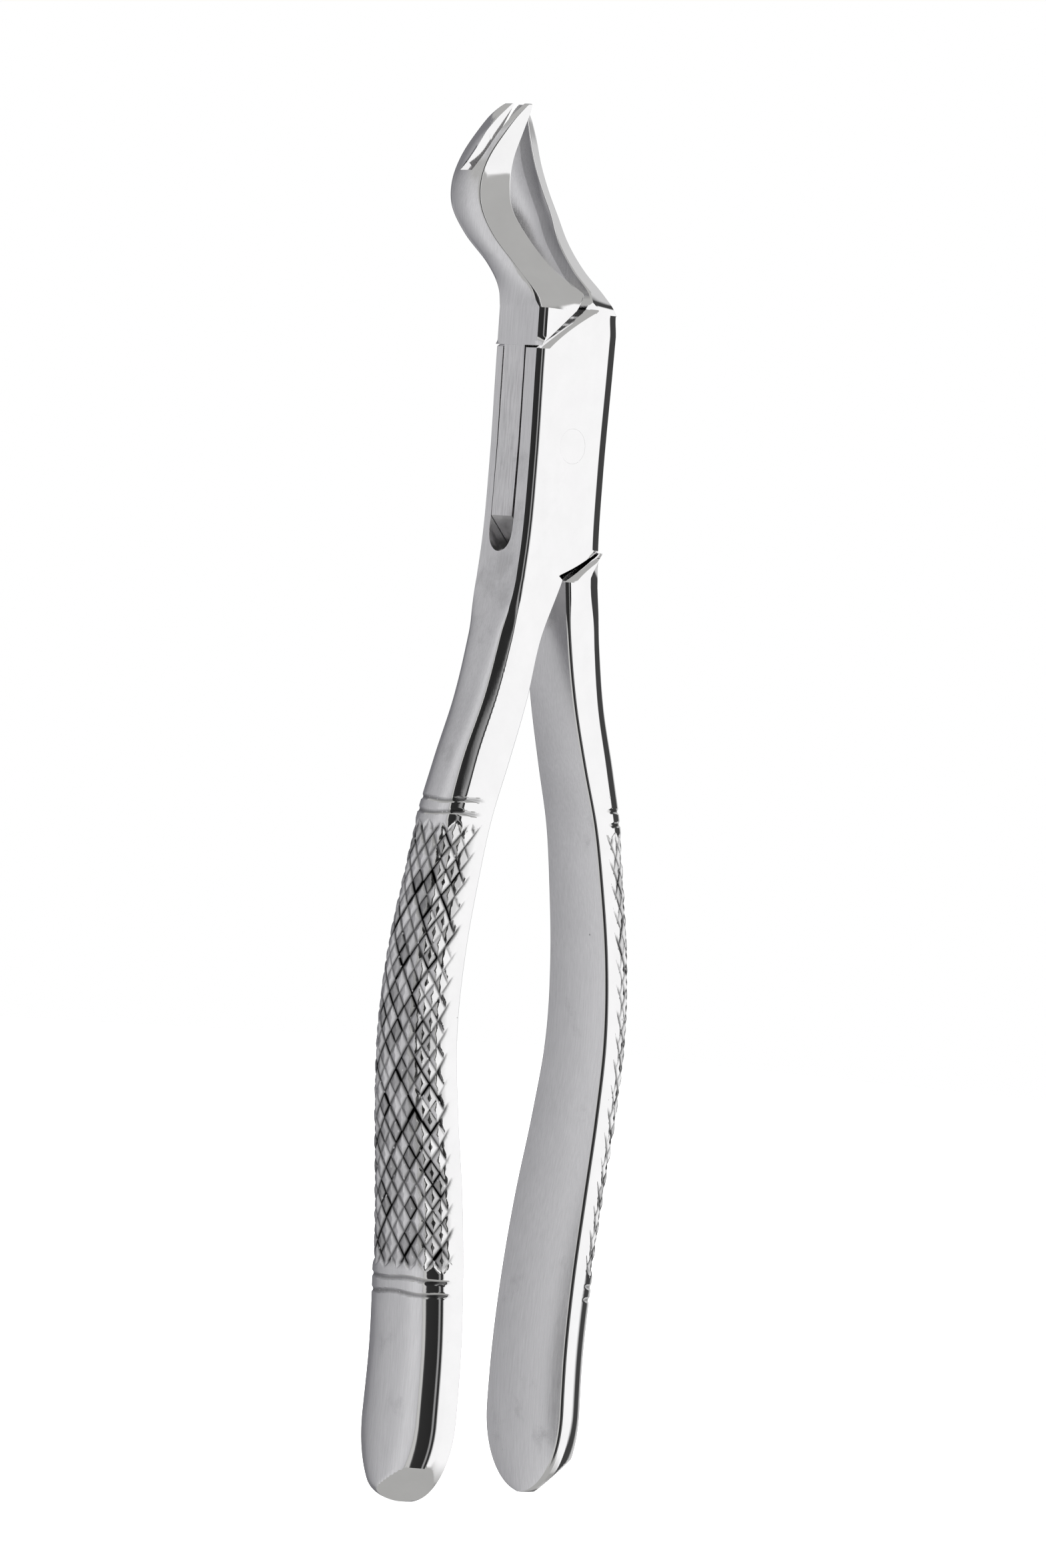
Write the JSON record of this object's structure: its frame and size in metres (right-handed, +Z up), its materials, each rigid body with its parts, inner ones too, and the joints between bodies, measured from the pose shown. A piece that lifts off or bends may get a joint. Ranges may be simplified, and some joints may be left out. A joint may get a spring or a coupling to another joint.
{
  "type": "dental extraction forceps",
  "caption": "Box-joint dental extraction forceps with cranked beaks, one forked and one single-pointed, and curved cross-cut grip handles.",
  "frame": {"origin": "where the pivot axis meets the joint's flat front face", "axes": "+Z up the instrument from the handles to the beaks, +X to the right seen from the front, +Y from the joint's front face to its back, along the pivot"},
  "size_m": [0.0376, 0.0226, 0.1738],
  "materials": {
    "forged_steel": "mirror-polished stainless steel, satin on the inner flats and sides, cross-cut grips",
    "pin_steel": "mirror-polished stainless steel, peened flush"
  },
  "bodies": {
    "box_side": {"box_half": "forged_steel", "pivot_pin": "pin_steel"},
    "tongue_side": {"tongue_half": "forged_steel"}
  },
  "joints": [
    {"name": "jaw_pivot", "type": "hinge", "parent": "box_side", "child": "tongue_side", "pos_m": [0, 0, 0], "axis": [0, -1, 0], "range_deg": [0, 24]}
  ]
}
